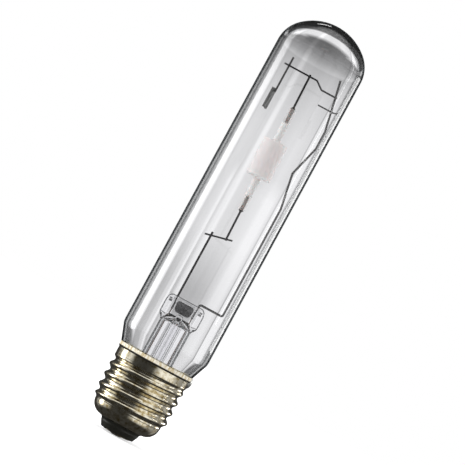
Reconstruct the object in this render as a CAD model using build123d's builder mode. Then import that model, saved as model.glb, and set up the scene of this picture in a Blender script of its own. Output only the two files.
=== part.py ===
from build123d import *
import os
from math import acos, atan2, cos, degrees, pi, radians, sin, sqrt, tan

# Tubular clear discharge lamp with a 27 mm screw cap, standing on its centre contact.
# Millimetres. The origin is the flat tip of the contact solder, and +Z runs up the lamp's axis.
# +X is the side of the long frame wire, and -Y faces the viewer of the photograph.

os.makedirs("parts", exist_ok=True)

# Clearances
fit = 0.02               # between faces that are fused, soldered or cemented on the real lamp
weld_gap = 0.02          # between two wires that cross at a spot weld

# Centre contact and insulator
solder_h = 0.5           # solder bead below the contact plate
solder_d = 4.6
solder_tip_d = 2.6       # flat that the socket's tongue presses on the bead
plate_d = 9.6
plate_t = 0.5
plate_hole_d = 1.6
plate_seat = 0.2         # depth to which the plate is let into the insulator
insulator_foot_d = 11.7
insulator_neck_d = 13.6
insulator_drop = 3.2     # insulator showing below the shell
insulator_fill = 3.4     # insulator standing inside the shell
insulator_dish = 0.8     # hollow in its upper face

# Screw shell
sheet = 0.3
thread_crest_d = 26.4
thread_depth = 1.15
thread_pitch = 3.629
thread_length = 15.9
thread_run_in = 0.5      # turns over which the thread rises at the bottom
thread_run_out = 0.6     # turns over which it fades into the collar
thread_start_angle = 84  # direction of the crest at the thread's foot, in degrees
thread_sections = 6      # sections in each turn
shell_foot_step = 0.2    # from the thread's roots in to the shell's foot
shell_hole_d = 16.4      # hole that the insulator stands through
shell_round = 4.4        # radius that turns the shell in at its foot
collar_step = 0.2        # from the thread's crests in to the collar
collar_h = 2.2

# Outer bulb
bulb_d = 31.2
bulb_wall = 1.2
neck_depth = 14.0        # neck reaching down inside the shell
neck_cement = 0.55       # cement between the neck and the thread's roots
seat_cement = 0.5        # cement between glass and collar at the rim
brim_over = 0.05         # glass above the rim, standing out past the collar
brim_h = 0.85            # height of the brim's sloping underside
rim_gap = 0.3            # cement showing between rim and glass
lip_out = 0.3            # cement standing out past the collar
lip_rise = 0.65          # cement on the glass above the brim
shoulder_angle = 20.5    # slope of the shoulder from the axis, in degrees
shoulder_round = 6.0
dome_h = 12.8
dome_corner = 11.0       # radius where the side turns into the crown
headroom = 15.2          # from the end of the frame wire to the crown of the bulb

# Stem
stem_d = 11.2
stem_wall = 1.0
stem_rise = 23.4         # from the rim up to the top of the press
press_w = 13.6
press_t = 5.0
press_end_round = 2.1
ear_d = 5.4              # thicker glass round each lead
ear_over = 0.2           # ear standing out past the end of the press
press_h = 6.2
press_top_round = 1.8
press_blend = 2.9        # height over which the tube is drawn out into the press
jaw_top_w = 6.7          # mark that the press jaws leave on both faces
jaw_foot_w = 5.4
jaw_h = 4.4
jaw_drop = 0.6           # from the top of the press down to the mark
jaw_corner = 1.2         # radius of the mark's lower corners
jaw_top_depth = 0.4
jaw_foot_depth = 2.1
flare_round = 7.0
cone_h = 2.0             # height of the tube's closed end
exhaust_d = 3.8
exhaust_wall = 0.6
exhaust_end = 2.8        # exhaust tube's sealed tip, below the end of the neck
exhaust_hole_d = 1.8
exhaust_hole_rise = 0.2  # glass between the exhaust hole and the tube's closed end
exhaust_mouth_d = 2.7    # hollow round the hole's mouth

# Lead wires
lead_spread = 7.8        # between the two leads in the press
lead_d = 0.76
outer_lead_d = 0.4
outer_lead_bend = 0.22
joint_depth = 4.6        # where inner and outer leads are joined, below the top of the press
side_lead_drop = 1.0     # loop of the side lead below the end of the neck
side_lead_over = 0.64    # side lead's bend above the rim
side_lead_lap = 1.0      # end of the side lead below the rim, under its solder
side_lead_gap = 0.12     # between side lead and collar, filled by the solder
side_solder_h = 4.4
side_solder_out = 1.0

# Wire mount
short_lead_h = 24.0      # short support wire above the press
bar_d = 0.6
bar_tail = 2.1           # crossbar left over past a weld
lower_bar_slope = 13.5   # in degrees
frame_wall_gap = 2.1     # from the frame wire's axis to the bulb's bore
frame_foot_h = 0.9       # bend of the frame wire above the press
frame_bend = 0.7
frame_dip = 2.3          # how far the frame wire bends in beside the arc tube
dip_below = 12.4         # where that bend starts, below the arc tube's middle
dip_above = 10.8         # where it ends, above the middle
frame_bow = 0.65         # how far the wire bows out again above the bend
frame_bow_run = 6.4      # length of that bow
frame_lean = 3.65        # how far its end leans in at the top
frame_end_h = 3.6        # frame wire above the upper crossbar
upper_bar_reach = 9.5    # upper crossbar to the left of the arc tube
upper_bar_run = 2.8      # upper crossbar to the right of it, before the step
joggle_drop = 2.1        # step in the upper crossbar
joggle_run = 2.8
joggle_bend = 0.6
weld_tail = 0.6
spring_d = 0.5
spring_drop = 7.2        # wall spring below the upper crossbar
spring_reach = 5.0       # wall spring inwards of the frame wire
spring_kick = 0.6        # how far its outer end is bent up

# Arc tube
arc_body_d = 8.6
arc_body_l = 13.2
arc_wall = 0.8
arc_end_t = 1.3
arc_edge = 0.5
capillary_d = 2.6
capillary_bore_d = 1.3
capillary_l = 12.2
arc_lean = 1.4           # slope of the arc tube towards -X at the top, in degrees
arc_shift = 0.4          # arc tube's middle to the right of the lamp's axis
feed_d = 0.72
lower_feed_l = 10.8      # feed wire showing between crossbar and arc tube
upper_feed_l = 12.4
feed_tail = 0.5
seal_l = 5.0             # depth of the frit in the capillary
seal_cap_h = 0.7
seal_cap_d = 1.9
electrode_d = 0.44
electrode_tip = 2.6      # electrode standing into the arc chamber
coil_wire_d = 0.3
coil_turns = 4
coil_inset = 0.3         # from the electrode's tip to the coil
mandrel_d = 1.0
dose_d = 1.4
dose_h = 0.5
dose_x = 2.1

# Getter
getter_wire_d = 0.7
getter_wire_up = 3.2     # getter wire above the upper crossbar
getter_wire_drop = 10.0  # getter wire below it
getter_lap = 1.2         # getter wire lying on the channel
getter_l = 7.4
getter_w = 2.8
getter_t = 0.9
getter_sheet = 0.2
getter_margin = 1.8      # channel left over past the wire
getter_turn = 72         # turn of the channel from the plane of the mount, in degrees
getter_inset = 1.7       # from the end of the upper crossbar

# Diameters of the cap and of the neck inside it, worked out inwards from the thread's crests
thread_root_d = thread_crest_d - 2 * thread_depth
shell_foot_d = thread_root_d - 2 * shell_foot_step
collar_d = thread_crest_d - 2 * collar_step
neck_d = thread_root_d - 2 * (sheet + neck_cement)
seat_d = collar_d - 2 * (sheet + seat_cement)
brim_d = collar_d + 2 * brim_over

# Levels, worked out upwards from the contact
plate_z = solder_h
plate_top_z = plate_z + plate_t
insulator_foot_z = plate_top_z - plate_seat
shell_edge_z = insulator_foot_z + insulator_drop
shell_round_x = shell_foot_d / 2 - shell_round
thread_z = shell_edge_z + sqrt(shell_round**2 - (shell_hole_d / 2 - shell_round_x) ** 2)
thread_top_z = thread_z + thread_length
rim_z = thread_top_z + collar_h
brim_z = rim_z + rim_gap
brim_top_z = brim_z + brim_h
neck_top_z = thread_top_z - collar_h / 2
neck_end_z = rim_z - neck_depth
exhaust_tip_z = neck_end_z - exhaust_end
press_top_z = rim_z + stem_rise
press_z = press_top_z - press_h
tube_top_z = press_z - press_blend
joint_z = press_top_z - joint_depth
lower_bar_z = press_top_z + short_lead_h
arc_half_l = arc_body_l / 2 + capillary_l
arc_z = lower_bar_z + lower_feed_l + arc_half_l
upper_bar_z = arc_z + arc_half_l + upper_feed_l
dip_top_z = arc_z + dip_above
bow_top_z = dip_top_z + frame_bow_run
frame_end_z = upper_bar_z + frame_end_h
crown_z = frame_end_z + headroom
dome_z = crown_z - dome_h

# Places across the lamp
shell_bore_r = thread_root_d / 2 - sheet
collar_bore_r = collar_d / 2 - sheet
bulb_bore_r = bulb_d / 2 - bulb_wall
stem_r = stem_d / 2
stem_bore_r = stem_r - stem_wall
exhaust_bore_r = exhaust_d / 2 - exhaust_wall
lead_x = lead_spread / 2
frame_x = bulb_bore_r - frame_wall_gap
bar_y = lead_d / 2 + bar_d / 2 + weld_gap
arc_y = bar_y - bar_d / 2 - feed_d / 2 - weld_gap
spring_y = -(lead_d / 2 + spring_d / 2 + weld_gap)
getter_y = bar_y + bar_d / 2 + getter_wire_d / 2 + weld_gap

# The arc tube leans a little in the plane of the mount
lean = radians(arc_lean)
arc_right = Vector(cos(lean), 0, sin(lean))
arc_up = Vector(-sin(lean), 0, cos(lean))
arc_centre = Vector(arc_shift, arc_y, arc_z)
arc_section = Plane(arc_centre, x_dir=arc_right, z_dir=(0, -1, 0))
arc_axis = Axis(arc_centre, arc_up)
arc_ends = {"lower": -1, "upper": 1}


def upright(depth):
    """The plane of the mount, moved back from the lamp's axis."""
    return Plane.XZ.offset(-depth)


def arc_x(z):
    """Where the leaning arc tube's axis stands at a level."""
    return arc_shift - (z - arc_z) * tan(lean)


def frame_x_at(z):
    """Where the frame wire's upper run stands at a level."""
    return frame_x + frame_bow - frame_lean * (z - bow_top_z) / (frame_end_z - bow_top_z)


def ease(share):
    """A smooth rise from 0 to 1."""
    held = min(max(share, 0), 1)
    return held * held * (3 - 2 * held)


def shell_section(climb):
    """Radius and off-centre place of the shell's round section, at a height above the thread's foot."""
    rise = ease(climb / (thread_run_in * thread_pitch))
    fade = ease((thread_length - climb) / (thread_run_out * thread_pitch))
    mean_r = (thread_crest_d + thread_root_d) / 4
    foot_r = shell_foot_d / 2
    radius = foot_r + (mean_r - foot_r) * rise + (collar_d / 2 - mean_r) * (1 - fade)
    throw = (thread_crest_d - thread_root_d) / 4 * min(rise, fade)
    turn = radians(thread_start_angle) + 2 * pi * climb / thread_pitch
    return radius, (throw * cos(turn), throw * sin(turn))


def bent_wire(plane, points, diameter, bend=0):
    """A round wire with square-cut ends that follows points on a plane."""
    with BuildPart() as wire:
        with BuildLine(plane) as route:
            if bend:
                FilletPolyline(*points, radius=bend)
            else:
                Polyline(*points)
        with BuildSketch(Plane(route.line @ 0, z_dir=route.line % 0)):
            Circle(diameter / 2)
        sweep()
    return wire


def turned(points, plane=Plane.XZ, axis=Axis.Z):
    """A solid turned from a straight-sided half section."""
    with BuildPart() as piece:
        with BuildSketch(plane):
            with BuildLine():
                Polyline(*points, close=True)
            make_face()
        revolve(axis=axis)
    return piece


# Screw shell: thin brass sheet rolled into a thread. Each level section of such a thread is a circle
# set off the axis, whose centre goes round once in each pitch.
levels = round(thread_length / thread_pitch * thread_sections)
foot_angle = degrees(acos((shell_hole_d / 2 - shell_round_x) / shell_round))
with BuildPart() as cap_shell:
    for inset, mode in ((0, Mode.ADD), (sheet, Mode.SUBTRACT)):
        for level in range(levels + 1):
            climb = thread_length * level / levels
            radius, centre = shell_section(climb)
            with BuildSketch(Plane.XY.offset(thread_z + climb)):
                with Locations(centre):
                    Circle(radius - inset)
        loft(mode=mode)
    with BuildSketch(Plane.XZ):
        with Locations((collar_bore_r + sheet / 2, thread_top_z + collar_h / 2)):
            Rectangle(sheet, collar_h)
    revolve(axis=Axis.Z)
    with BuildSketch(Plane.XZ):
        with BuildLine():
            outside = CenterArc((shell_round_x, thread_z), shell_round, -foot_angle, foot_angle)
            inside = CenterArc((shell_round_x, thread_z), shell_round - sheet, -foot_angle, foot_angle)
            Line(outside @ 0, inside @ 0)
            Line(outside @ 1, inside @ 1)
        make_face()
    revolve(axis=Axis.Z)

# Insulator: black glass cast into the foot of the shell, with a seat for the contact plate
hole_r = shell_round_x + (shell_hole_d / 2 - shell_round_x) * (shell_round - sheet) / shell_round - fit
fill_round = shell_round - sheet - fit
fill_top_z = shell_edge_z + insulator_fill
fill_low = degrees(acos((hole_r - shell_round_x) / fill_round))
fill_high = 90 - degrees(acos((thread_z - fill_top_z) / fill_round))
neck_fillet = hole_r - insulator_neck_d / 2
with BuildPart() as cap_insulator:
    with BuildSketch(Plane.XZ):
        with BuildLine():
            fill = CenterArc((shell_round_x, thread_z), fill_round, -fill_high, fill_high - fill_low)
            edge = Line(fill @ 1, (hole_r, shell_edge_z))
            hollow = CenterArc((hole_r, shell_edge_z - neck_fillet), neck_fillet, 90, 90)
            Polyline(
                hollow @ 1,
                (insulator_foot_d / 2, insulator_foot_z),
                (plate_d / 2 + fit, insulator_foot_z),
                (plate_d / 2 + fit, plate_top_z + fit),
                (plate_hole_d / 2, plate_top_z + fit),
                (plate_hole_d / 2, fill_top_z - insulator_dish),
                fill @ 0,
            )
        make_face()
    revolve(axis=Axis.Z)

# Contact plate, let into the insulator's foot
with BuildPart() as contact_plate:
    with BuildSketch(Plane.XY.offset(plate_z)):
        Circle(plate_d / 2)
        Circle(plate_hole_d / 2, mode=Mode.SUBTRACT)
    extrude(amount=plate_t)
    fillet(contact_plate.edges().group_by(Axis.Z)[0].sort_by(SortBy.RADIUS)[-1], plate_t / 2)

# Solder that fills the plate's hole round the centre lead and stands below it as a bead
with BuildPart() as contact_solder:
    with BuildSketch(Plane.XZ):
        with BuildLine():
            bead = TangentArc((solder_tip_d / 2, 0), (solder_d / 2, plate_z - fit), tangent=(1, 0))
            Polyline(
                bead @ 1,
                (plate_hole_d / 2 - fit, plate_z - fit),
                (plate_hole_d / 2 - fit, plate_top_z),
                (outer_lead_d / 2 + fit, plate_top_z),
                (outer_lead_d / 2 + fit, plate_z - fit),
                (0, plate_z - fit),
                (0, 0),
                bead @ 0,
            )
        make_face()
    revolve(axis=Axis.Z)

# Outer bulb: one blown piece, open at the neck
shoulder_z = brim_top_z + (bulb_d - brim_d) / 2 / tan(radians(shoulder_angle))
corner_x = bulb_d / 2 - dome_corner
crown_round = (corner_x**2 + dome_h**2 - dome_corner**2) / (2 * (dome_h - dome_corner))
corner_angle = atan2(crown_round - dome_h, corner_x)
with BuildPart() as outer_bulb:
    for inset, mode in ((0, Mode.ADD), (bulb_wall, Mode.SUBTRACT)):
        bulb_r = bulb_d / 2 - inset
        corner_r = dome_corner - inset
        corner_end = (corner_x + corner_r * cos(corner_angle), dome_z + corner_r * sin(corner_angle))
        with BuildSketch(Plane.XZ):
            with BuildLine():
                crown = TangentArc((0, crown_z - inset), corner_end, tangent=(1, 0))
                TangentArc(corner_end, (bulb_r, dome_z), tangent=crown % 1)
                side = FilletPolyline(
                    (bulb_r, dome_z),
                    (bulb_r, shoulder_z),
                    (brim_d / 2 - inset, brim_top_z),
                    radius=shoulder_round,
                )
                Polyline(
                    side @ 1,
                    (seat_d / 2 - inset, brim_z),
                    (neck_d / 2 - inset, neck_top_z),
                    (neck_d / 2 - inset, neck_end_z),
                    (0, neck_end_z),
                    crown @ 0,
                )
            make_face()
        revolve(axis=Axis.Z, mode=mode)

# Stem: a flared tube, pinched shut in a flat press round the leads, with a hole into the exhaust tube
flare_r = neck_d / 2 - bulb_wall - fit
flare_angle = degrees(acos(1 - (flare_r - stem_r) / flare_round))
flare_centre = (stem_r + flare_round, neck_end_z + stem_wall + flare_round * sin(radians(flare_angle)))
cone_z = tube_top_z - stem_wall / 2
cone_top_z = cone_z + cone_h
exhaust_hole_z = cone_top_z + exhaust_hole_rise + exhaust_hole_d / 2
jaw_angle = degrees(atan2(jaw_h, (jaw_top_w - jaw_foot_w) / 2))
jaw_top_z = press_top_z - jaw_drop
ear_x = press_w / 2 + ear_over - ear_d / 2
ear_top_z = press_top_z - ear_d / 2
with BuildPart() as jaw_marks:
    with BuildSketch(Plane.XZ) as mark:
        with Locations((0, jaw_top_z - jaw_h / 2)):
            Trapezoid(jaw_top_w, jaw_h, jaw_angle, rotation=180)
        fillet(mark.vertices().group_by(Axis.Z)[0], jaw_corner)
    extrude(amount=press_t, both=True)
    with BuildSketch(Plane.YZ):
        with BuildLine():
            Polyline(
                (press_t / 2 - jaw_top_depth, jaw_top_z),
                (press_t / 2 - jaw_foot_depth, jaw_top_z - jaw_h),
                (jaw_foot_depth - press_t / 2, jaw_top_z - jaw_h),
                (jaw_top_depth - press_t / 2, jaw_top_z),
                close=True,
            )
        make_face()
    extrude(amount=jaw_top_w, both=True, mode=Mode.SUBTRACT)
with BuildPart() as stem:
    with BuildSketch(Plane.XY.offset(tube_top_z)):
        Circle(stem_r)
    with BuildSketch(Plane.XY.offset(press_z)):
        RectangleRounded(press_w, press_t, press_end_round)
    loft()
    with BuildSketch(Plane.XY.offset(press_z)):
        RectangleRounded(press_w, press_t, press_end_round)
    extrude(amount=press_h)
    fillet(stem.faces().sort_by(Axis.Z)[-1].edges(), press_top_round)
    for ear in (-ear_x, ear_x):
        with Locations((ear, 0, press_z)):
            Cylinder(ear_d / 2, ear_top_z - press_z, align=(Align.CENTER, Align.CENTER, Align.MIN))
        with Locations((ear, 0, press_z), (ear, 0, ear_top_z)):
            Sphere(ear_d / 2)
    with BuildSketch(Plane.XZ):
        with BuildLine():
            outside = CenterArc(flare_centre, flare_round, 180, flare_angle)
            inside = CenterArc(flare_centre, flare_round + stem_wall, 180, flare_angle)
            Line(outside @ 1, inside @ 1)
            Polyline(outside @ 0, (stem_r, tube_top_z), (stem_bore_r, tube_top_z), inside @ 0)
        make_face()
    revolve(axis=Axis.Z)
    with BuildSketch(Plane.XZ):
        with BuildLine():
            Polyline(
                (0, flare_centre[1]),
                (stem_bore_r, flare_centre[1]),
                (stem_bore_r, cone_z),
                (exhaust_bore_r, cone_top_z),
                (exhaust_bore_r, exhaust_hole_z),
                (0, exhaust_hole_z),
                close=True,
            )
        make_face()
    revolve(axis=Axis.Z, mode=Mode.SUBTRACT)
    with BuildSketch(Plane.XZ):
        with Locations((0, exhaust_hole_z)):
            Circle(exhaust_hole_d / 2)
    extrude(amount=press_w, mode=Mode.SUBTRACT)
    with Locations((0, -press_t / 2, exhaust_hole_z)):
        Sphere(exhaust_mouth_d / 2, mode=Mode.SUBTRACT)
    add(jaw_marks.part, mode=Mode.SUBTRACT)
    with BuildSketch(Plane.XY.offset(cone_z)):
        with Locations((-lead_x, 0), (lead_x, 0)):
            Circle(outer_lead_d / 2 + fit)
    extrude(amount=press_top_z - cone_z, mode=Mode.SUBTRACT)
    with BuildSketch(Plane.XY.offset(joint_z)):
        with Locations((-lead_x, 0), (lead_x, 0)):
            Circle(lead_d / 2 + fit)
    extrude(amount=press_h, mode=Mode.SUBTRACT)

# Exhaust tube: seated on the closed end of the stem and tipped off inside the cap
seat_share = (stem_bore_r - exhaust_d / 2) / (stem_bore_r - exhaust_bore_r)
exhaust_top_z = cone_z + cone_h * seat_share - fit
tip_z = exhaust_tip_z + exhaust_d / 2
with BuildPart() as exhaust_tube:
    with BuildSketch(Plane.XZ):
        with BuildLine():
            outside = CenterArc((0, tip_z), exhaust_d / 2, 270, 90)
            inside = CenterArc((0, tip_z), exhaust_bore_r, 270, 90)
            Line(outside @ 0, inside @ 0)
            Polyline(
                outside @ 1,
                (exhaust_d / 2, exhaust_top_z),
                (exhaust_bore_r, exhaust_top_z),
                inside @ 1,
            )
        make_face()
    revolve(axis=Axis.Z)

# Outer leads: one to the centre contact, one round the end of the neck and over the rim
centre_lead = bent_wire(
    Plane.XZ,
    [
        (-lead_x, joint_z),
        (-lead_x, exhaust_tip_z),
        (0, (exhaust_tip_z + fill_top_z) / 2),
        (0, plate_z),
    ],
    outer_lead_d,
    bend=outer_lead_bend,
)
side_lead_z = neck_end_z - side_lead_drop
neck_gap_x = (neck_d / 2 + shell_bore_r) / 2
seat_gap_x = (seat_d / 2 + collar_bore_r) / 2
lap_x = collar_d / 2 + outer_lead_d / 2 + side_lead_gap
side_lead = bent_wire(
    Plane.XZ,
    [
        (lead_x, joint_z),
        (lead_x, side_lead_z),
        (neck_gap_x, side_lead_z),
        (neck_gap_x, thread_top_z - thread_run_out * thread_pitch),
        (seat_gap_x, rim_z - sheet),
        (seat_gap_x, rim_z + side_lead_over / 4),
        (lap_x, rim_z + side_lead_over),
        (lap_x, rim_z - side_lead_lap),
    ],
    outer_lead_d,
    bend=outer_lead_bend,
)

# Cement between neck and shell, squeezed out over the rim, with a slot for the side lead
cement_foot_z = neck_end_z + bulb_wall
lip_r = brim_d / 2 + lip_rise * tan(radians(shoulder_angle)) + fit
with BuildPart() as cap_cement:
    with BuildSketch(Plane.XZ):
        with BuildLine():
            Polyline(
                (neck_d / 2 + fit, cement_foot_z),
                (shell_bore_r - fit, cement_foot_z),
                (shell_bore_r - fit, thread_top_z - thread_run_out * thread_pitch / 2),
                (collar_bore_r - fit, thread_top_z),
                (collar_bore_r - fit, rim_z + fit),
                (collar_d / 2, rim_z + fit),
                (collar_d / 2 + lip_out, rim_z + lip_out),
                (lip_r + fit, brim_top_z + lip_rise),
                (brim_d / 2 + fit, brim_top_z),
                (seat_d / 2 + fit, brim_z - fit),
                (neck_d / 2 + fit, neck_top_z),
                close=True,
            )
        make_face()
    revolve(axis=Axis.Z)
    with BuildSketch(Plane.XY.offset(cement_foot_z)):
        with Locations((collar_d / 2, 0)):
            Rectangle(collar_d / 2, outer_lead_d + 2 * fit)
    extrude(amount=brim_top_z, mode=Mode.SUBTRACT)

# Solder that holds the side lead to the outside of the rim, cut to the form of collar, cement and glass
shoulder_rise = side_solder_h / 2
rim_form = turned(
    [
        (0, thread_z),
        (collar_d / 2 + fit, thread_z),
        (collar_d / 2 + fit, rim_z),
        (collar_d / 2 + lip_out + fit, rim_z + lip_out),
        (lip_r + 2 * fit, brim_top_z + lip_rise),
        (brim_d / 2 + shoulder_rise * tan(radians(shoulder_angle)) + 2 * fit, brim_top_z + shoulder_rise),
        (0, brim_top_z + shoulder_rise),
    ]
)
solder_round = ((side_solder_h / 2) ** 2 + side_solder_out**2) / (2 * side_solder_out)
with BuildPart() as side_solder:
    with Locations(Location((collar_d / 2 + side_solder_out - solder_round, 0, rim_z), (0, 0, 180))):
        Sphere(solder_round)
    add(rim_form.part, mode=Mode.SUBTRACT)
    add(side_lead.part, mode=Mode.SUBTRACT)

# Short support wire and frame wire, both standing in the press
short_lead = bent_wire(Plane.XZ, [(-lead_x, joint_z), (-lead_x, lower_bar_z)], lead_d)
frame_foot_z = press_top_z + frame_foot_h
frame_wire = bent_wire(
    Plane.XZ,
    [
        (lead_x, joint_z),
        (lead_x, frame_foot_z),
        (frame_x, frame_foot_z),
        (frame_x, arc_z - dip_below),
        (frame_x - frame_dip, arc_z),
        (frame_x + frame_bow, dip_top_z),
        (frame_x + frame_bow, bow_top_z),
        (frame_x_at(frame_end_z), frame_end_z),
    ],
    lead_d,
    bend=frame_bend,
)

# Crossbars, welded behind the wires that they join
bar_rise = tan(radians(lower_bar_slope))
lower_feed_x = arc_x(lower_bar_z)
lower_crossbar = bent_wire(
    upright(bar_y),
    [
        (-lead_x - bar_tail, lower_bar_z - (lower_feed_x + lead_x + bar_tail) * bar_rise),
        (lower_feed_x + bar_tail, lower_bar_z + bar_tail * bar_rise),
    ],
    bar_d,
)
upper_feed_x = arc_x(upper_bar_z)
joggle_x = upper_feed_x + upper_bar_run
joggle_z = upper_bar_z - joggle_drop
upper_bar_end_x = upper_feed_x - upper_bar_reach
upper_crossbar = bent_wire(
    upright(bar_y),
    [
        (upper_bar_end_x, upper_bar_z),
        (joggle_x, upper_bar_z),
        (joggle_x + joggle_run, joggle_z),
        (frame_x_at(joggle_z) + weld_tail, joggle_z),
    ],
    bar_d,
    bend=joggle_bend,
)

# Wall spring, welded in front of the frame wire and resting on the bulb
spring_z = upper_bar_z - spring_drop
spring_x = frame_x_at(spring_z)
spring_end_x = sqrt((bulb_bore_r - fit) ** 2 - (spring_y - spring_d / 2) ** 2) - spring_d / 4
wall_spring = bent_wire(
    upright(spring_y),
    [
        (spring_x - spring_reach, spring_z),
        (spring_x + weld_tail, spring_z),
        (spring_end_x, spring_z + spring_kick),
    ],
    spring_d,
    bend=joggle_bend,
)

# Getter: a channel of powder, hung from the upper crossbar on its own wire
getter_x = upper_bar_end_x + getter_inset
getter_end_z = upper_bar_z - getter_wire_drop
getter_wire = bent_wire(
    upright(getter_y),
    [(getter_x, upper_bar_z + getter_wire_up), (getter_x, getter_end_z)],
    getter_wire_d,
)
turn = radians(getter_turn)
getter_foot = Plane(
    (getter_x, getter_y, getter_end_z + getter_lap - getter_l),
    x_dir=(cos(turn), sin(turn), 0),
    z_dir=(0, 0, 1),
)
channel_y = getter_wire_d / 2 + weld_gap + getter_t / 2
channel_x = getter_margin - getter_w / 2
with BuildPart() as getter_channel:
    with BuildSketch(getter_foot):
        with Locations((channel_x, channel_y)):
            Rectangle(getter_w, getter_t)
        with Locations((channel_x, channel_y + getter_sheet)):
            Rectangle(getter_w - 2 * getter_sheet, getter_t, mode=Mode.SUBTRACT)
    extrude(amount=getter_l)
with BuildPart() as getter_powder:
    with BuildSketch(getter_foot.offset(getter_sheet)):
        with Locations((channel_x, channel_y + getter_sheet / 2)):
            Rectangle(getter_w - 2 * getter_sheet - 2 * fit, getter_t - getter_sheet - 2 * fit)
    extrude(amount=getter_l - 2 * getter_sheet)

# Arc tube: one sintered ceramic piece, a chamber with a capillary at each end
body_r = arc_body_d / 2
body_half = arc_body_l / 2
chamber_r = body_r - arc_wall
chamber_half = body_half - arc_end_t
capillary_r = capillary_d / 2
capillary_bore_r = capillary_bore_d / 2
with BuildPart() as arc_tube:
    with BuildSketch(arc_section) as half:
        with BuildLine():
            Polyline(
                (capillary_bore_r, -arc_half_l),
                (capillary_r, -arc_half_l),
                (capillary_r, -body_half),
                (body_r, -body_half),
                (body_r, body_half),
                (capillary_r, body_half),
                (capillary_r, arc_half_l),
                (capillary_bore_r, arc_half_l),
                (capillary_bore_r, chamber_half),
                (chamber_r, chamber_half),
                (chamber_r, -chamber_half),
                (capillary_bore_r, -chamber_half),
                close=True,
            )
        make_face()
        fillet([corner for corner in half.vertices() if corner.X > capillary_d], arc_edge)
    revolve(axis=arc_axis)

# Feed wires, frit seals, electrodes and their coils, one set at each end of the arc tube
feed_r = feed_d / 2
seal_foot = arc_half_l - seal_l
coil_r = electrode_d / 2 + fit + coil_wire_d / 2
coil_pitch = coil_wire_d + fit
tip = chamber_half - electrode_tip
feed_lengths = {"lower": lower_feed_l, "upper": upper_feed_l}
arc_fittings = {}
for end, way in arc_ends.items():
    feed_end = arc_half_l + feed_lengths[end] + feed_tail
    arc_fittings[f"{end}_feed_wire"] = turned(
        [
            (0, way * seal_foot),
            (feed_r, way * seal_foot),
            (feed_r, way * feed_end),
            (0, way * feed_end),
        ],
        arc_section,
        arc_axis,
    )
    arc_fittings[f"{end}_frit_seal"] = turned(
        [
            (feed_r + fit, way * seal_foot),
            (capillary_bore_r - fit, way * seal_foot),
            (capillary_bore_r - fit, way * (arc_half_l + fit)),
            (seal_cap_d / 2, way * (arc_half_l + fit)),
            (feed_r + fit, way * (arc_half_l + seal_cap_h)),
        ],
        arc_section,
        arc_axis,
    )
    arc_fittings[f"{end}_electrode"] = turned(
        [
            (0, way * (seal_foot - fit)),
            (mandrel_d / 2, way * (seal_foot - fit)),
            (mandrel_d / 2, way * body_half),
            (electrode_d / 2, way * body_half),
            (electrode_d / 2, way * tip),
            (0, way * tip),
        ],
        arc_section,
        arc_axis,
    )
    coil_start = arc_centre + arc_up * way * (tip + coil_inset + coil_wire_d / 2)
    with BuildPart() as coil:
        with BuildLine() as winding:
            Helix(coil_pitch, coil_pitch * coil_turns, coil_r, coil_start, arc_up * way)
        with BuildSketch(Plane(winding.line @ 0, z_dir=winding.line % 0)):
            Circle(coil_wire_d / 2)
        sweep(is_frenet=True)
    arc_fittings[f"{end}_coil"] = coil

# Halide dose, set hard on the floor of the chamber
dose_foot = arc_centre + arc_right * dose_x - arc_up * (chamber_half - fit)
with BuildPart() as halide_dose:
    with BuildSketch(Plane(dose_foot, x_dir=arc_right, z_dir=(0, -1, 0))):
        with BuildLine():
            skin = TangentArc((0, dose_h), (dose_d / 2, 0), tangent=(1, 0))
            Polyline(skin @ 1, (0, 0), skin @ 0)
        make_face()
    revolve(axis=Axis(dose_foot, arc_up))

pieces = {
    "outer_bulb": outer_bulb,
    "cap_shell": cap_shell,
    "cap_insulator": cap_insulator,
    "cap_cement": cap_cement,
    "contact_plate": contact_plate,
    "contact_solder": contact_solder,
    "side_solder": side_solder,
    "stem": stem,
    "exhaust_tube": exhaust_tube,
    "centre_lead": centre_lead,
    "side_lead": side_lead,
    "short_support_wire": short_lead,
    "frame_wire": frame_wire,
    "lower_crossbar": lower_crossbar,
    "upper_crossbar": upper_crossbar,
    "wall_spring": wall_spring,
    "getter_wire": getter_wire,
    "getter_channel": getter_channel,
    "getter_powder": getter_powder,
    "arc_tube": arc_tube,
    "halide_dose": halide_dose,
    **arc_fittings,
}
for name, piece in pieces.items():
    piece.part.label = name
    export_step(piece.part, f"parts/{name}.step")
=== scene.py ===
"""Looks of a clear tubular discharge lamp: glass, brass, wires, ceramic arc tube and their studio."""

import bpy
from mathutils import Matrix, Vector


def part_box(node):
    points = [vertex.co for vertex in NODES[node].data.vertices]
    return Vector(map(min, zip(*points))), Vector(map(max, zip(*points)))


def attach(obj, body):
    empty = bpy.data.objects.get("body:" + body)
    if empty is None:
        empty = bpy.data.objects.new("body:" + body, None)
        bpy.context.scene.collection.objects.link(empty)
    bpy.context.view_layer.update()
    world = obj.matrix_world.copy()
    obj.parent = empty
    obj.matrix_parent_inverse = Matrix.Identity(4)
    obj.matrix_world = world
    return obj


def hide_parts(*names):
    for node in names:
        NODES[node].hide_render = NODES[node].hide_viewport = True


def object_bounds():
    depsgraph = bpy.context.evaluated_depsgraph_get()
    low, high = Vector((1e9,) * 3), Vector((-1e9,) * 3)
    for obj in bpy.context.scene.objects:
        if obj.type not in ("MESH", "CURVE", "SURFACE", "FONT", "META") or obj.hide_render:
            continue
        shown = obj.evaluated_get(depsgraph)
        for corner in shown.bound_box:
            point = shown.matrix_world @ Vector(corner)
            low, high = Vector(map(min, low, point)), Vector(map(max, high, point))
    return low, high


bl_info = {
    "name": "Tubular discharge lamp",
    "version": (1, 0, 0),
    "blender": (4, 5, 0),
    "location": "3D View > Sidebar > Lamp",
    "description": "Dresses the parts of a tubular discharge lamp and sets up its studio",
    "category": "Object",
}

from math import atan2, cos, degrees, pi, radians, sin, tan

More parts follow.
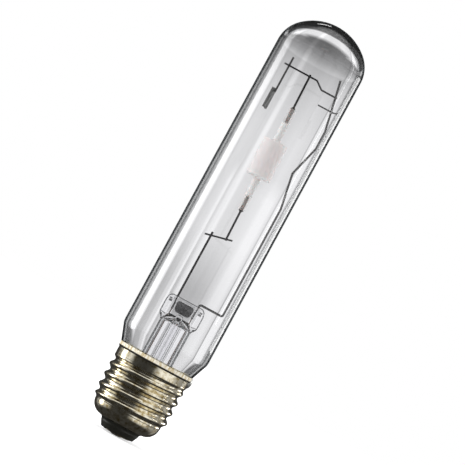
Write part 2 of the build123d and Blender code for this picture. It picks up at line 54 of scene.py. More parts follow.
import bpy
from bpy.props import FloatProperty, FloatVectorProperty, IntProperty, PointerProperty
from mathutils import Quaternion, Vector

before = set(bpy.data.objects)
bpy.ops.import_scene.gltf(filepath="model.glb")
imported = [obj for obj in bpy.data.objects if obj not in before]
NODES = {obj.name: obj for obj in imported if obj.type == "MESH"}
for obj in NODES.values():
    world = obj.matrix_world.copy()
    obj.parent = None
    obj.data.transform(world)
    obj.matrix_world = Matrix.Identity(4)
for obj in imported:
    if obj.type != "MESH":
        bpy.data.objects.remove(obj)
CAD_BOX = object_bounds()
MM = 0.001

# Studio walls as metal and glass mirror them: turn from the camera's side to the right, and level
WALLS = [
    (-180, 0.05), (-138, 0.05), (-132, 0.3), (-116, 0.3), (-111, 1.0), (-98, 1.0), (-88, 0.8),
    (-74, 0.8), (-58, 0.05), (-20, 0.03), (6, 0.06), (30, 0.95), (72, 0.95), (86, 0.4),
    (118, 0.25), (126, 0.4), (143, 0.4), (148, 0.05), (180, 0.05),
]
# Shares of the bright ceiling and of the dark ground in what is mirrored, by elevation
ABOVE = [(56, 0.0), (68, 1.0)]
BELOW = [(-34, 1.0), (-14, 0.0)]
# Streaks of the backdrop as they show through glass: turn to the left, and level
STREAKS = [
    (-12, 0.88), (-9.4, 1.0), (-5.2, 1.0), (-5.0, 0.52), (-4.75, 0.52), (-4.5, 0.78), (-3.6, 0.76),
    (-2.2, 0.82), (-1.4, 0.78), (-0.4, 0.74), (1.2, 0.78), (1.5, 1.0), (1.85, 1.0), (2.1, 0.78),
    (5.3, 0.75), (5.6, 0.62), (6.3, 1.0), (9.8, 1.0), (12, 0.88),
]
MIDDLE_STREAKS = [
    (-12, 0.88), (-9.4, 1.0), (-5.2, 1.0), (-5.0, 0.6), (-4.75, 0.6), (-4.5, 0.82), (-3.4, 0.98),
    (-2.2, 0.98), (-1.4, 0.84), (-0.4, 0.8), (1.2, 0.8), (1.5, 1.0), (1.85, 0.95), (2.1, 0.92),
    (2.3, 0.75), (2.5, 0.8), (2.6, 1.0), (2.85, 1.0), (3.2, 0.86), (3.8, 0.77), (5.6, 0.68),
    (6.3, 1.0), (9.8, 1.0), (12, 0.88),
]
LOW_STREAKS = [
    (-12, 0.88), (-9.4, 1.0), (-5.2, 1.0), (-5.0, 0.4), (-4.75, 0.4), (-4.5, 0.76), (-3.2, 0.88),
    (-2.0, 0.82), (-1.2, 0.6), (-0.6, 0.5), (1.2, 0.46), (1.5, 0.95), (1.85, 0.9), (2.1, 0.72),
    (2.3, 0.54), (2.5, 0.56), (2.6, 1.0), (2.85, 1.0), (3.0, 0.78), (3.5, 0.74), (3.8, 0.55),
    (5.6, 0.48), (6.3, 1.0), (9.8, 1.0), (12, 0.88),
]
# The streaks come again after each of these turns, so that the glass looks alike from all sides
STREAK_TURN = pi / 4
# Dark gaps of the backdrop behind the lamp, just below the camera's height: turn to the left, and level
TABLE_GAPS = [
    (-26, 1.0), (-23, 0.08), (-6.6, 0.08), (-5, 1.0), (5, 0.8), (6.4, 0.4), (9, 0.08), (23, 0.08),
    (26, 1.0),
]
# Shares of the middle streaks, the low streaks and the gaps, by elevation
MIDDLE = [(4.9, 1.0), (5.6, 0.0)]
LOW = [(1.3, 1.0), (3.2, 0.0)]
TABLE = [(-12, 0.0), (-9, 1.0), (-2.3, 1.0), (-1.4, 0.0)]
# Levels of the whole backdrop, by elevation
HEIGHTS = [
    (-90, 0.85), (-55, 0.85), (-40, 1.0), (6.9, 1.0), (8.5, 0.84), (9.2, 0.66), (9.9, 0.4),
    (10.8, 0.26), (13.6, 0.2), (14.6, 1.2), (18.2, 1.2), (19.2, 0.04), (90, 0.04),
]
WHITE = (1.0, 1.0, 1.0, 1.0)
DARK_GROUND = (0.04, 0.04, 0.04, 1.0)
# Softboxes: name, turn in degrees, height, distance, width and length in metres, share of light, mirrored
SOFTBOXES = [
    ("left_softbox", -103, 0.15, 0.7, 0.26, 0.9, 0.87, True),
    ("right_softbox", 131, 0.155, 0.7, 0.27, 0.25, 1.3, True),
    ("right_strip", 93, 0.33, 0.7, 0.05, 0.6, 1.0, True),
    ("crown_strip", 194, 0.6, 0.43, 0.12, 0.04, 1.6, True),
    ("top_softbox", -25, 0.8, 0.35, 0.6, 0.6, 0.5, False),
    ("side_softbox", -75, 0.2, 0.6, 0.3, 0.5, 0.8, False),
]
# Rays through the bulb and the stem cross many walls, so they need many bounces
GLASS_BOUNCES = 32
MIRROR_BOUNCES = 16

GLASS_IOR = 1.47
ALUMINA_IOR = 1.76
# Patterns, as a count per millimetre: flecks of tarnish, patches of oxide, and two stretched noises
FLECKS = 0.6
OXIDE = 0.9
ROLLING_LINES = (0.2, 0.2, 9.0)
CEMENT_STREAKS = (1.3, 1.3, 0.4)
# How much darker the oxide and the grain's hollows are than their own colour
OXIDE_SHADE = 0.55
GRAIN_SHADE = 0.8
# The painted shade of the gap at the shell ends between these heights above the rim, in millimetres
SEAM_SHADE_TOP = (0.55, 0.75)
# Steps along each arc of the crown and of the shoulder
CROWN_STEPS = 20
SHOULDER_STEPS = 8
# Points of the turned glass that are closer than this are welded, and flatter edges than this are smooth
WELD = 0.002 * MM
SMOOTH_BELOW = radians(30)


def hex_colour(text):
    """Linear colour of an sRGB hex value such as D9B867."""
    shares = [int(text[at:at + 2], 16) / 255 for at in (0, 2, 4)]
    linear = [c / 12.92 if c <= 0.04045 else ((c + 0.055) / 1.055) ** 2.4 for c in shares]
    return (*linear, 1.0)


def hue(name, description, text):
    """A colour that a user can change, with its default as sRGB hex."""
    return FloatVectorProperty(
        name=name, description=description, default=hex_colour(text), size=4, subtype="COLOR",
        min=0, max=1,
    )


def length(name, description, millimetres):
    """A length that a user can change, with its default in millimetres."""
    return FloatProperty(name=name, description=description, default=millimetres * MM, unit="LENGTH")


class LampSizes(bpy.types.PropertyGroup):
    """Sizes of the glass that is modelled here."""

    bulb_wall: length("Bulb wall", "Thickness of the outer bulb's glass", 1.2)
    dome_height: length("Dome height", "From the end of the straight side to the crown", 12.8)
    dome_corner: length("Dome corner", "Radius where the side turns into the crown", 11.0)
    shoulder_round: length("Shoulder round", "Radius where the side turns into the shoulder", 6.0)
    shoulder_slope: FloatProperty(
        name="Shoulder slope", description="Slope of the shoulder from the axis", default=radians(20.5),
        subtype="ANGLE",
    )
    brim_radius: length("Brim radius", "Glass just above the rim of the shell", 13.05)
    brim_height: length("Brim height", "Height of the brim's sloping underside", 0.85)
    rim_gap: length("Rim gap", "Cement showing between the shell's rim and the glass", 0.3)
    seat_radius: length("Seat radius", "Glass where it enters the rim", 12.2)
    neck_radius: length("Neck radius", "Straight neck inside the shell", 11.2)
    neck_top: length("Neck top", "Top of the straight neck, below the rim", 3.3)
    turn_steps: IntProperty(
        name="Steps round", description="Faces round the turned glass", default=160, min=24, max=256
    )


class LampColours(bpy.types.PropertyGroup):
    """Colours of the lamp's finishes."""

    glass: hue("Clear glass", "Tint of the blown glass", "FBFBFC")
    # Glass side and glass edge are painted shade: darker tints at a slant, standing in for the dark
    # studio that the glass's outline mirrors and bends
    glass_side_shade: hue("Glass side", "Glass seen at a steep slant", "848586")
    glass_edge_shade: hue("Glass edge", "Glass seen nearly along its wall", "101314")
    glass_shadow: hue("Glass shadow", "Light that passes through the glass", "F7F8F8")
    brass: hue("Brass", "Bright rolled brass", "F6EFDA")
    brass_dark: hue("Brass tarnish", "Duller flecks of the brass", "A8935E")
    black_glass: hue("Black glass", "Insulator of the cap", "26261F")
    cement: hue("Cement", "Basing cement at the rim", "FAF4E4")
    cement_dark: hue("Cement stain", "Browner streaks of the cement", "C9B68A")
    # Painted shade: a dark colour at the foot of the cement, standing in for the shadow in the gap at the
    # shell's rim
    seam: hue("Seam", "Dirt in the seam between cement and shell", "1E1A12")
    solder: hue("Solder", "Tin solder", "B9B9B4")
    copper: hue("Lead copper", "Coated outer leads", "6E5648")
    nickel: hue("Nickel wire", "Drawn wires of the mount", "2F2E2E")
    # Painted reflection: a brighter copy of the nickel wire's colour, standing in for the bright studio
    # sides that these wires mirror
    nickel_painted_reflection: hue("Plated wire", "Brighter frame and getter wires", "575655")
    niobium: hue("Niobium wire", "Feed wires of the arc tube", "2C2B2B")
    tungsten: hue("Tungsten", "Electrodes and coils", "55555A")
    ceramic: hue("Alumina", "Translucent arc tube", "FAF3F1")
    ceramic_body: hue("Alumina chamber", "Arc tube round its chamber", "FAEFEE")
    ceramic_end: hue("Alumina ends", "Arc tube where the frit shows through", "EBDFDA")
    frit: hue("Frit", "Sealing frit, showing through the capillary", "352A26")
    getter: hue("Getter strip", "Plated steel of the getter channel", "6A6A68")
    powder: hue("Getter powder", "Pressed metal powder", "4C4A49")
    salt: hue("Halide salt", "Solid dose in the arc tube", "B98F5E")
    floor: hue("Floor", "Plain pale floor", "F4F4F4")


class LampStage(bpy.types.PropertyGroup):
    """The camera and the light round the lamp."""

    camera_distance: length("Camera distance", "From the lamp's axis to the camera", 600)
    camera_height: length("Camera height", "Camera above the foot of the lamp", 40)
    aim_across: length("Aim across", "Middle of the picture, right of the lamp's axis", 1.9)
    aim_height: length("Aim height", "Middle of the picture, above the foot of the lamp", 76.8)
    view_width: length("View width", "Width of the picture at the lamp", 153.45)
    lean: FloatProperty(
        name="Lean", description="Turn of the picture about its middle", default=radians(28.59),
        subtype="ANGLE",
    )
    fill: FloatProperty(name="Fill", description="Even light from all round", default=0.7, min=0)
    softbox: FloatProperty(
        name="Softbox", description="Brightness of the soft lights", default=3.0, min=0
    )
    floor_size: length("Floor size", "Width of the floor", 6000)
    floor_lift: FloatProperty(
        name="Floor lift", description="Light added to the floor for the camera", default=0.6, min=0
    )


def add_node(tree, kind, sockets=None, stops=None, **settings):
    """Adds a node with its settings, colour stops, and values or links of its sockets."""
    made = tree.nodes.new(kind)
    for key, value in settings.items():
        setattr(made, key, value)
    if stops:
        elements = made.color_ramp.elements
        while len(elements) < len(stops):
            elements.new(1.0)
        for element, (place, shade) in zip(elements, stops):
            element.position = place
            element.color = shade if hasattr(shade, "__len__") else (shade, shade, shade, 1.0)
    for key, value in (sockets or {}).items():
        if isinstance(value, bpy.types.NodeSocket):
            tree.links.new(value, made.inputs[key])
        else:
            made.inputs[key].default_value = value
    return made


def new_finish(name):
    """A new material with its node tree and principled shader."""
    finish = bpy.data.materials.new(name)
    finish.use_nodes = True
    tree = finish.node_tree
    shader = next(n for n in tree.nodes if n.type == "BSDF_PRINCIPLED")
    return finish, tree, shader


def stretched(tree, place, scales):
    """A place with each of its coordinates scaled."""
    scaled = add_node(tree, "ShaderNodeVectorMath", {0: place, 1: scales}, operation="MULTIPLY")
    return scaled.outputs["Vector"]


def millimetre_place(tree):
    """Object coordinates in millimetres."""
    place = add_node(tree, "ShaderNodeTexCoord").outputs["Object"]
    return stretched(tree, place, (1 / MM, 1 / MM, 1 / MM))


def dress(finish, *names):
    """Gives a finish to CAD nodes."""
    for name in names:
        for slot in NODES[name].material_slots:
            slot.material = finish


def clear_glass(name, colours, slant_shades):
    """Fire-polished clear glass: smooth, with painted shade that makes it greyer at a steep slant and
    dark along its wall.
    """
    finish, tree, shader = new_finish(name)
    # Painted shade by slant: the tint darkens both the glass and its reflections towards its outline
    facing = add_node(tree, "ShaderNodeLayerWeight", {"Blend": 0.5})
    rim = add_node(tree, "ShaderNodeValToRGB", {"Fac": facing.outputs["Facing"]}, stops=slant_shades)
    tree.links.new(rim.outputs["Color"], shader.inputs["Base Color"])
    tree.links.new(rim.outputs["Color"], shader.inputs["Specular Tint"])
    shader.inputs["Roughness"].default_value = 0.0
    shader.inputs["IOR"].default_value = GLASS_IOR
    shader.inputs["Transmission Weight"].default_value = 1.0
    path = add_node(tree, "ShaderNodeLightPath")
    clear = add_node(tree, "ShaderNodeBsdfTransparent", {"Color": colours.glass_shadow})
    lets_light = add_node(
        tree,
        "ShaderNodeMath",
        {0: path.outputs["Is Shadow Ray"], 1: path.outputs["Is Diffuse Ray"]},
        operation="MAXIMUM",
    )
    mixed = add_node(
        tree,
        "ShaderNodeMixShader",
        {0: lets_light.outputs["Value"], 1: shader.outputs["BSDF"], 2: clear.outputs["BSDF"]},
    )
    out = next(n for n in tree.nodes if n.type == "OUTPUT_MATERIAL")
    tree.links.new(mixed.outputs["Shader"], out.inputs["Surface"])
    return finish


def rolled_brass(colours):
    """Rolled brass sheet: bright, with faint rolling lines and duller flecks."""
    finish, tree, shader = new_finish("rolled_brass")
    place = millimetre_place(tree)
    flecks = add_node(
        tree, "ShaderNodeTexNoise", {"Vector": place, "Scale": FLECKS, "Detail": 5.0, "Roughness": 0.6}
    )
    shade = add_node(
        tree,
        "ShaderNodeValToRGB",
        {"Fac": flecks.outputs["Fac"]},
        stops=[(0.44, colours.brass), (0.68, colours.brass_dark)],
    )
    dull = add_node(
        tree, "ShaderNodeMapRange", {"Value": flecks.outputs["Fac"], "To Min": 0.06, "To Max": 0.22}
    )
    rolled = stretched(tree, place, ROLLING_LINES)
    lines = add_node(tree, "ShaderNodeTexNoise", {"Vector": rolled, "Scale": 1.0})
    bump = add_node(
        tree, "ShaderNodeBump", {"Height": lines.outputs["Fac"], "Strength": 0.06, "Distance": 0.05 * MM}
    )
    shader.inputs["Metallic"].default_value = 1.0
    tree.links.new(shade.outputs["Color"], shader.inputs["Base Color"])
    tree.links.new(dull.outputs["Result"], shader.inputs["Roughness"])
    tree.links.new(bump.outputs["Normal"], shader.inputs["Normal"])
    return finish


def drawn_wire(name, colour, roughness):
    """Drawn metal wire: grey, with faint uneven oxide from the welding heat."""
    finish, tree, shader = new_finish(name)
    oxide = add_node(
        tree,
        "ShaderNodeTexNoise",
        {"Vector": millimetre_place(tree), "Scale": OXIDE, "Detail": 4.0},
    )
    dark = [c * OXIDE_SHADE for c in colour[:3]] + [1.0]
    shade = add_node(
        tree,
        "ShaderNodeValToRGB",
        {"Fac": oxide.outputs["Fac"]},
        stops=[(0.35, colour), (0.7, dark)],
    )
    dull = add_node(
        tree,
        "ShaderNodeMapRange",
        {"Value": oxide.outputs["Fac"], "To Min": roughness * 0.7, "To Max": roughness * 1.4},
    )
    shader.inputs["Metallic"].default_value = 1.0
    tree.links.new(shade.outputs["Color"], shader.inputs["Base Color"])
    tree.links.new(dull.outputs["Result"], shader.inputs["Roughness"])
    return finish


def grainy(name, colour, grain, roughness):
    """A matt or satin finish with a fine grain of its own colour, whose width is in millimetres."""
    finish, tree, shader = new_finish(name)
    grains = add_node(
        tree,
        "ShaderNodeTexNoise",
        {"Vector": millimetre_place(tree), "Scale": 1 / grain, "Detail": 3.0},
    )
    dark = [c * GRAIN_SHADE for c in colour[:3]] + [1.0]
    shade = add_node(
        tree,
        "ShaderNodeValToRGB",
        {"Fac": grains.outputs["Fac"]},
        stops=[(0.35, colour), (0.7, dark)],
    )
    bump = add_node(
        tree,
        "ShaderNodeBump",
        {"Height": grains.outputs["Fac"], "Strength": 0.2, "Distance": grain * 0.1 * MM},
    )
    tree.links.new(shade.outputs["Color"], shader.inputs["Base Color"])
    tree.links.new(bump.outputs["Normal"], shader.inputs["Normal"])
    shader.inputs["Roughness"].default_value = roughness
    return finish


def rim_cement(colours):
    """Basing cement squeezed out at the rim: cream, streaked brown, with painted shade of the gap as a
    dark band at the shell.
    """
    finish, tree, shader = new_finish("basing_cement")
    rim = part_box("cap_shell")[1].z / MM
    place = millimetre_place(tree)
    upright = stretched(tree, place, CEMENT_STREAKS)
    streaks = add_node(tree, "ShaderNodeTexNoise", {"Vector": upright, "Scale": 1.0, "Detail": 4.0})
    shade = add_node(
        tree,
        "ShaderNodeValToRGB",
        {"Fac": streaks.outputs["Fac"]},
        stops=[(0.42, colours.cement), (0.64, colours.cement_dark)],
    )
    spread = add_node(tree, "ShaderNodeSeparateXYZ", {"Vector": place})
    # Painted shade: the cement turns dark below these heights, as the shadow of the gap at the shell
    low, high = (rim + height for height in SEAM_SHADE_TOP)
    above = add_node(
        tree, "ShaderNodeMapRange", {"Value": spread.outputs["Z"], "From Min": low, "From Max": high}
    )
    seam_shaded = blended(tree, above.outputs["Result"], colours.seam, shade.outputs["Color"])
    bump = add_node(
        tree, "ShaderNodeBump", {"Height": streaks.outputs["Fac"], "Strength": 0.3, "Distance": 0.1 * MM}
    )
    tree.links.new(seam_shaded, shader.inputs["Base Color"])
    tree.links.new(bump.outputs["Normal"], shader.inputs["Normal"])
    shader.inputs["Roughness"].default_value = 0.8
    return finish


def alumina(colours):
    """Sintered translucent alumina: satin and faintly pink, letting what is inside show a little.

    Its stops are shares of the way from the middle of the tube to its ends.
    """
    finish, tree, shader = new_finish("sintered_alumina")
    low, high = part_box("arc_tube")
    middle = (low.z + high.z) / 2 / MM
    reach = (high.z - low.z) / 2 / MM
    spread = add_node(tree, "ShaderNodeSeparateXYZ", {"Vector": millimetre_place(tree)})
    above = add_node(
        tree, "ShaderNodeMath", {0: spread.outputs["Z"], 1: middle}, operation="SUBTRACT"
    )
    away = add_node(tree, "ShaderNodeMath", {0: above.outputs["Value"]}, operation="ABSOLUTE")
    share = add_node(tree, "ShaderNodeMath", {0: away.outputs["Value"], 1: reach}, operation="DIVIDE")
    shade = add_node(
        tree,
        "ShaderNodeValToRGB",
        {"Fac": share.outputs["Value"]},
        stops=[
            (0.22, colours.ceramic_body),
            (0.32, colours.ceramic),
            (0.71, colours.ceramic),
            (0.76, colours.ceramic_end),
        ],
    )
    cover = add_node(
        tree,
        "ShaderNodeValToRGB",
        {"Fac": share.outputs["Value"]},
        stops=[(0.3, 0.7), (0.34, 0.8), (0.7, 0.75), (0.74, 0.17)],
    )
    tree.links.new(shade.outputs["Color"], shader.inputs["Base Color"])
    tree.links.new(cover.outputs["Color"], shader.inputs["Alpha"])
    shader.inputs["Roughness"].default_value = 0.28
    shader.inputs["IOR"].default_value = ALUMINA_IOR
    shader.inputs["Subsurface Weight"].default_value = 0.5
    shader.inputs["Subsurface Radius"].default_value = (1.0, 0.75, 0.7)
    shader.inputs["Subsurface Scale"].default_value = 1.2 * MM
    return finish


def arc_points(centre, radius, start, end, steps):
    """Points along an arc, from one angle in degrees to another."""
    turns = [radians(start + (end - start) * step / steps) for step in range(steps + 1)]
    return [(centre[0] + radius * cos(turn), centre[1] + radius * sin(turn)) for turn in turns]


def bulb_side(sizes, inset):
    """One face of the outer bulb's wall, from the crown down to the end of the neck."""
    low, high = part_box("outer_bulb")
    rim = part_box("cap_shell")[1].z
    radius = high.x
    dome = high.z - sizes.dome_height
    corner = radius - sizes.dome_corner
    spare = sizes.dome_height - sizes.dome_corner
    crown = (corner**2 + sizes.dome_height**2 - sizes.dome_corner**2) / (2 * spare)
    meeting = degrees(atan2(crown - sizes.dome_height, corner))
    brim = rim + sizes.rim_gap
    shoulder = brim + sizes.brim_height + (radius - sizes.brim_radius) / tan(sizes.shoulder_slope)
    bend = shoulder + sizes.shoulder_round * tan(sizes.shoulder_slope / 2)
    round_centre = (radius - sizes.shoulder_round - inset, bend)
    side = arc_points((0, high.z - crown), crown - inset, 90, meeting, CROWN_STEPS)
    side += arc_points((corner, dome), sizes.dome_corner - inset, meeting, 0, CROWN_STEPS)[1:]
    slope = degrees(sizes.shoulder_slope)
    side += arc_points(round_centre, sizes.shoulder_round, 0, -slope, SHOULDER_STEPS)
    side += [
        (sizes.brim_radius - inset, brim + sizes.brim_height),
        (sizes.seat_radius - inset, brim),
        (sizes.neck_radius - inset, rim - sizes.neck_top),
        (sizes.neck_radius - inset, low.z),
    ]
    return side


def turned_piece(name, outline, steps):
    """A piece turned about the lamp's axis from points of its half section."""
    bpy.ops.object.select_all(action="DESELECT")
    bpy.ops.mesh.primitive_plane_add(size=MM)
    piece = bpy.context.object
    piece.name = name
    bpy.ops.object.mode_set(mode="EDIT")
    bpy.ops.mesh.select_all(action="SELECT")
    bpy.ops.mesh.merge(type="CENTER")
    bpy.ops.transform.translate(value=(outline[0][0], 0, outline[0][1]))
    for here, there in zip(outline, outline[1:]):
        bpy.ops.mesh.extrude_region_move(
            TRANSFORM_OT_translate={"value": (there[0] - here[0], 0, there[1] - here[1])}
        )
    bpy.ops.mesh.select_all(action="SELECT")
    bpy.ops.mesh.spin(steps=steps, angle=2 * pi, center=(0, 0, 0), axis=(0, 0, 1))
    bpy.ops.mesh.select_all(action="SELECT")
    bpy.ops.mesh.remove_doubles(threshold=WELD)
    bpy.ops.mesh.normals_make_consistent(inside=False)
    bpy.ops.object.mode_set(mode="OBJECT")
    bpy.ops.object.shade_smooth_by_angle(angle=SMOOTH_BELOW)
    return piece


def settle(piece, finish, slot, *nodes):
    """Finishes a new piece and lets it stand for CAD nodes."""
    piece.data.materials.clear()
    piece.data.materials.append(finish)
    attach(piece, "root")
    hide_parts(*nodes)


class LAMP_OT_outer_bulb(bpy.types.Operator):
    """Turns the outer bulb from its wall's outline and gives it clear glass"""

    bl_idname = "lamp.outer_bulb"
    bl_label = "Outer bulb"

    def execute(self, context):
        sizes = context.scene.lamp_sizes
        colours = context.scene.lamp_colours
        outside = bulb_side(sizes, 0)
        inside = bulb_side(sizes, sizes.bulb_wall)
        bulb = turned_piece("outer_bulb_glass", outside + inside[::-1], sizes.turn_steps)
        # Blown glass: clear in the middle, with painted shade as grey bands along its sides and a dark
        # outline
        slant_shades = [
            (0.55, colours.glass),
            (0.6, colours.glass_side_shade),
            (0.67, colours.glass_side_shade),
            (0.725, colours.glass_edge_shade),
        ]
        glass = clear_glass("clear_blown_glass", colours, slant_shades)
        settle(bulb, glass, "clear_glass", "outer_bulb")
        return {"FINISHED"}


class LAMP_OT_stem(bpy.types.Operator):
    """Gives the stem and its exhaust tube clear pressed glass"""

    bl_idname = "lamp.stem"
    bl_label = "Stem"

    def execute(self, context):
        colours = context.scene.lamp_colours
        # Pressed glass: clear, with painted shade as dark lines along both faces of its wall
        slant_shades = [
            (0.44, colours.glass),
            (0.5, colours.glass_side_shade),
            (0.57, colours.glass_edge_shade),
        ]
        glass = clear_glass("pressed_stem_glass", colours, slant_shades)
        dress(glass, "stem", "exhaust_tube")
        return {"FINISHED"}


class LAMP_OT_cap(bpy.types.Operator):
    """Finishes the screw cap: brass, black glass, cement, solder and outer leads"""

    bl_idname = "lamp.cap"
    bl_label = "Screw cap"

    def execute(self, context):
        colours = context.scene.lamp_colours
        dress(rolled_brass(colours), "cap_shell", "contact_plate")
        # Cast black glass: nearly black, softly glossy and a little uneven
        black_glass = grainy("cast_black_glass", colours.black_glass, grain=0.8, roughness=0.4)
        dress(black_glass, "cap_insulator")
        dress(rim_cement(colours), "cap_cement")
        # Tin solder: dull silver grey with darker patches
        solder = drawn_wire("tin_solder", colours.solder, roughness=0.35)
        dress(solder, "contact_solder", "side_solder")
        # Coated copper: dark brown wire with a soft shine
        copper = drawn_wire("coated_copper_lead", colours.copper, roughness=0.3)
        dress(copper, "centre_lead", "side_lead")
        return {"FINISHED"}


class LAMP_OT_wire_mount(bpy.types.Operator):
    """Finishes the wires of the mount and the getter that hangs from them"""

    bl_idname = "lamp.wire_mount"
    bl_label = "Wire mount"

    def execute(self, context):
        colours = context.scene.lamp_colours
        # Drawn nickel wire: nearly black from the welding heat, with thin glints
        nickel = drawn_wire("drawn_nickel_wire", colours.nickel, roughness=0.2)
        dress(nickel, "short_support_wire", "lower_crossbar", "upper_crossbar")
        # Grey copy of the nickel wire, a little brighter: the extra brightness is a painted reflection of
        # the bright studio sides
        reflecting_nickel_finish = drawn_wire("nickel_wire_painted_reflection", colours.nickel_painted_reflection, roughness=0.2)
        dress(reflecting_nickel_finish, "frame_wire", "wall_spring", "getter_wire")
        # Plated steel strip: mid grey and satin
        strip = drawn_wire("plated_getter_steel", colours.getter, roughness=0.35)
        dress(strip, "getter_channel")
        # Pressed metal powder: dark, matt and grainy
        powder = grainy("pressed_metal_powder", colours.powder, grain=0.2, roughness=0.95)
        dress(powder, "getter_powder")
        return {"FINISHED"}


class LAMP_OT_arc_tube(bpy.types.Operator):
    """Finishes the ceramic arc tube, its seals, feed wires and electrodes"""

    bl_idname = "lamp.arc_tube"
    bl_label = "Arc tube"

    def execute(self, context):
        colours = context.scene.lamp_colours
        dress(alumina(colours), "arc_tube")
        # Melted frit: brownish black, seen through the ceramic
        frit = grainy("sealing_frit", colours.frit, grain=0.4, roughness=0.4)
        dress(frit, "lower_frit_seal", "upper_frit_seal")
        # Drawn niobium: dark grey wire with a soft shine
        niobium = drawn_wire("drawn_niobium_wire", colours.niobium, roughness=0.3)
        dress(niobium, "lower_feed_wire", "upper_feed_wire")
        # Drawn tungsten: bluish grey and a little rough
        tungsten = drawn_wire("drawn_tungsten", colours.tungsten, roughness=0.35)
        dress(tungsten, "lower_electrode", "upper_electrode", "lower_coil", "upper_coil")
        # Solid halide salt: yellow-brown, matt and grainy
        salt = grainy("metal_halide_salt", colours.salt, grain=0.2, roughness=0.7)
        dress(salt, "halide_dose")
        return {"FINISHED"}


def add_softbox(name, turn, height, distance, size, brightness, mirrored):
    """A rectangular soft light that faces the lamp. The turn is from the camera's side, to the right."""
    middle = Vector((0, 0, CAD_BOX[1].z / 2))
    place = Vector((sin(turn) * distance, -cos(turn) * distance, height))
    bpy.ops.object.light_add(type="AREA", location=place)
    softbox = bpy.context.object
    softbox.name = name
    softbox.rotation_euler = (middle - place).to_track_quat("-Z", "Y").to_euler()
    softbox.data.shape = "RECTANGLE"
    softbox.data.size, softbox.data.size_y = size
    softbox.data.energy = brightness * pi * size[0] * size[1]
    softbox.visible_camera = False
    softbox.visible_transmission = False
    softbox.visible_glossy = mirrored


def graded(tree, angle, stops):
    """Levels between stops at angles in degrees, for an angle in radians."""
    low, high = stops[0][0], stops[-1][0]
    share = add_node(
        tree, "ShaderNodeMapRange", {"Value": angle, "From Min": radians(low), "From Max": radians(high)}
    )
    places = [((turn - low) / (high - low), level) for turn, level in stops]
    levels = add_node(tree, "ShaderNodeValToRGB", {"Fac": share.outputs["Result"]}, stops=places)
    return levels.outputs["Color"]


def blended(tree, share, first, second, **settings):
    """Two colours blended by a share."""
    mixed = add_node(
        tree, "ShaderNodeMix", {0: share, 6: first, 7: second}, data_type="RGBA", **settings
    )
    return mixed.outputs[2]


def studio_world(world, fill):
    """A white studio with darker gaps, which give metal and glass their contrast."""
    world.use_nodes = True
    tree = world.node_tree
    tree.nodes.clear()
    toward = add_node(tree, "ShaderNodeTexCoord")
    parts = add_node(tree, "ShaderNodeSeparateXYZ", {"Vector": toward.outputs["Generated"]})
    front = add_node(tree, "ShaderNodeMath", {0: parts.outputs["Y"], 1: -1.0}, operation="MULTIPLY")
    turn = add_node(
        tree, "ShaderNodeMath", {0: parts.outputs["X"], 1: front.outputs["Value"]}, operation="ARCTAN2"
    )
    upward = add_node(tree, "ShaderNodeMath", {0: parts.outputs["Z"]}, operation="ARCSINE")
    rise = upward.outputs["Value"]
    about = add_node(tree, "ShaderNodeMath", {0: turn.outputs["Value"], 1: pi}, operation="ADD")
    repeated, behind = (
        add_node(
            tree, "ShaderNodeMath", {0: about.outputs["Value"], 1: reach, 2: -reach}, operation="WRAP"
        ).outputs["Value"]
        for reach in (STREAK_TURN / 2, pi)
    )
    mirrored = graded(tree, turn.outputs["Value"], WALLS)
    mirrored = blended(tree, graded(tree, rise, ABOVE), mirrored, WHITE)
    mirrored = blended(tree, graded(tree, rise, BELOW), mirrored, DARK_GROUND)
    streaks = graded(tree, repeated, STREAKS)
    for share, others in ((MIDDLE, MIDDLE_STREAKS), (LOW, LOW_STREAKS)):
        streaks = blended(tree, graded(tree, rise, share), streaks, graded(tree, repeated, others))
    gaps = blended(tree, graded(tree, rise, TABLE), WHITE, graded(tree, behind, TABLE_GAPS))
    through = blended(tree, 1.0, streaks, gaps, blend_type="MULTIPLY")
    through = blended(tree, 1.0, through, graded(tree, rise, HEIGHTS), blend_type="MULTIPLY")
    path = add_node(tree, "ShaderNodeLightPath")
    level = (fill, fill, fill, 1)
    for name, value in (
        ("Is Glossy Ray", mirrored),
        ("Is Transmission Ray", through),
        ("Is Camera Ray", WHITE),
    ):
        level = blended(tree, path.outputs[name], level, value)
    light = add_node(tree, "ShaderNodeBackground", {"Color": level, "Strength": 1.0})
    add_node(tree, "ShaderNodeOutputWorld", {"Surface": light.outputs["Background"]})


def pale_floor(colour, added):
    """A matt white studio floor, lifted for the camera so that it joins the white background."""
    finish, tree, shader = new_finish("matt_white_floor")
    shader.inputs["Base Color"].default_value = colour
    shader.inputs["Roughness"].default_value = 1.0
    shader.inputs["Specular IOR Level"].default_value = 0.0
    shader.inputs["Emission Color"].default_value = WHITE
    path = add_node(tree, "ShaderNodeLightPath")
    lift = add_node(
        tree, "ShaderNodeMath", {0: path.outputs["Is Camera Ray"], 1: added}, operation="MULTIPLY"
    )
    tree.links.new(lift.outputs["Value"], shader.inputs["Emission Strength"])
    return finish


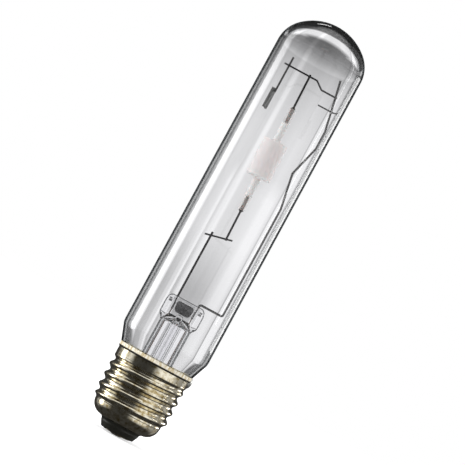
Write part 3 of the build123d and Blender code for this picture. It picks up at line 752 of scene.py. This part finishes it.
class LAMP_OT_stage(bpy.types.Operator):
    """Sets up the floor, the soft light, the world and the camera"""

    bl_idname = "lamp.stage"
    bl_label = "Stage"

    def execute(self, context):
        scene = context.scene
        stage = scene.lamp_stage
        bpy.ops.object.select_all(action="DESELECT")
        bpy.ops.mesh.primitive_plane_add(size=stage.floor_size)
        floor = context.object
        floor.name = "floor"
        floor.data.materials.append(pale_floor(scene.lamp_colours.floor, stage.floor_lift))
        floor.visible_glossy = False
        floor.visible_transmission = False
        for name, turn, height, distance, width, along, share, mirrored in SOFTBOXES:
            brightness = stage.softbox * share
            add_softbox(name, radians(turn), height, distance, (width, along), brightness, mirrored)
        scene.world = scene.world or bpy.data.worlds.new("studio")
        studio_world(scene.world, stage.fill)
        aim = Vector((stage.aim_across, 0, stage.aim_height))
        place = Vector((stage.aim_across, -stage.camera_distance, stage.camera_height))
        bpy.ops.object.camera_add(location=place)
        camera = context.object
        camera.rotation_mode = "QUATERNION"
        level = (aim - place).to_track_quat("-Z", "Y")
        camera.rotation_quaternion = level @ Quaternion((0, 0, 1), stage.lean)
        camera.data.lens = camera.data.sensor_width * (aim - place).length / stage.view_width
        scene.camera = camera
        scene.view_settings.view_transform = "Standard"
        scene.cycles.max_bounces = GLASS_BOUNCES
        scene.cycles.transmission_bounces = GLASS_BOUNCES
        scene.cycles.glossy_bounces = MIRROR_BOUNCES
        scene.cycles.caustics_refractive = False
        scene.cycles.caustics_reflective = False
        return {"FINISHED"}


class LAMP_PT_panel(bpy.types.Panel):
    """Lists the lamp's pieces and what can be changed on them"""

    bl_label = "Tubular lamp"
    bl_idname = "LAMP_PT_panel"
    bl_space_type = "VIEW_3D"
    bl_region_type = "UI"
    bl_category = "Lamp"

    def draw(self, context):
        for operator in PIECES:
            self.layout.operator(operator.bl_idname)
        for group in GROUPS:
            box = self.layout.box()
            values = getattr(context.scene, group)
            for name in GROUPS[group].__annotations__:
                box.prop(values, name)


PIECES = (
    LAMP_OT_outer_bulb,
    LAMP_OT_stem,
    LAMP_OT_cap,
    LAMP_OT_wire_mount,
    LAMP_OT_arc_tube,
    LAMP_OT_stage,
)
GROUPS = {"lamp_sizes": LampSizes, "lamp_colours": LampColours, "lamp_stage": LampStage}


def register():
    for kind in (*GROUPS.values(), *PIECES, LAMP_PT_panel):
        bpy.utils.register_class(kind)
    for name, kind in GROUPS.items():
        setattr(bpy.types.Scene, name, PointerProperty(type=kind))


def unregister():
    for name in GROUPS:
        delattr(bpy.types.Scene, name)
    for kind in (LAMP_PT_panel, *reversed(PIECES), *reversed(GROUPS.values())):
        bpy.utils.unregister_class(kind)


def main():
    register()
    bpy.ops.lamp.outer_bulb()
    bpy.ops.lamp.stem()
    bpy.ops.lamp.cap()
    bpy.ops.lamp.wire_mount()
    bpy.ops.lamp.arc_tube()
    bpy.ops.lamp.stage()


if __name__ == "__main__":
    main()
